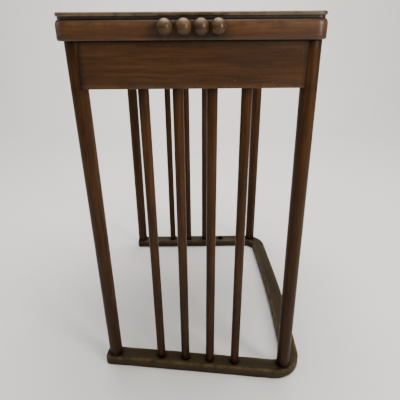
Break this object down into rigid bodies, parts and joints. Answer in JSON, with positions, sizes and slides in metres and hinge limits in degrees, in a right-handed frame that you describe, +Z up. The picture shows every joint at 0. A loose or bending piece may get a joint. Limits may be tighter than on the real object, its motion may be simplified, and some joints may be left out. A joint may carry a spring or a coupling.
{
  "type": "newspaper rack",
  "caption": "Tall slatted bentwood newspaper stand with a closed top, open on one long side, on a C-shaped foot runner.",
  "frame": {"origin": "middle of the outline seen from above, on the floor", "axes": "+Z up, +X to the closed long side, -Y to the end with the balls"},
  "size_m": [0.4608, 0.6366, 0.756],
  "materials": {
    "band_wood": "satin, stained and varnished, worn",
    "apron_wood": "satin, stained and varnished, worn",
    "post_wood": "satin, stained and varnished",
    "runner_wood": "dull, dusty varnish",
    "top_wood": "satin, worn",
    "ball_wood": "polished by handling",
    "inner_wood": "bare",
    "screw_steel": "dull"
  },
  "bodies": {
    "root": {"base_runner": "runner_wood", "post_front_left": "post_wood", "post_front_right": "post_wood", "post_rear_left": "post_wood", "post_rear_right": "post_wood", "front_slat_1": "post_wood", "front_slat_2": "post_wood", "front_slat_3": "post_wood", "front_slat_4": "post_wood", "rear_slat_1": "post_wood", "rear_slat_2": "post_wood", "rear_slat_3": "post_wood", "front_apron": "apron_wood", "rear_apron": "apron_wood", "side_apron": "apron_wood", "front_ledge": "inner_wood", "rear_ledge": "inner_wood", "corner_block_front_left": "inner_wood", "corner_block_front_right": "inner_wood", "corner_block_rear_left": "inner_wood", "corner_block_rear_right": "inner_wood", "top_frame": "band_wood", "top_board": "top_wood", "ball_1": "ball_wood", "ball_2": "ball_wood", "ball_3": "ball_wood", "ball_4": "ball_wood", "ball_dowel_1": "inner_wood", "ball_dowel_2": "inner_wood", "ball_dowel_3": "inner_wood", "ball_dowel_4": "inner_wood", "post_screw_1": "screw_steel", "post_screw_2": "screw_steel", "post_screw_3": "screw_steel", "post_screw_4": "screw_steel", "top_screw_1": "screw_steel", "top_screw_2": "screw_steel", "top_screw_3": "screw_steel", "top_screw_4": "screw_steel", "top_screw_5": "screw_steel", "top_screw_6": "screw_steel", "top_screw_7": "screw_steel", "top_screw_8": "screw_steel", "block_screw_1": "screw_steel", "block_screw_2": "screw_steel", "block_screw_3": "screw_steel", "block_screw_4": "screw_steel", "front_ledge_screw_1": "screw_steel", "front_ledge_screw_2": "screw_steel", "front_ledge_screw_3": "screw_steel", "rear_ledge_screw_1": "screw_steel", "rear_ledge_screw_2": "screw_steel", "rear_ledge_screw_3": "screw_steel"}
  },
  "joints": []
}
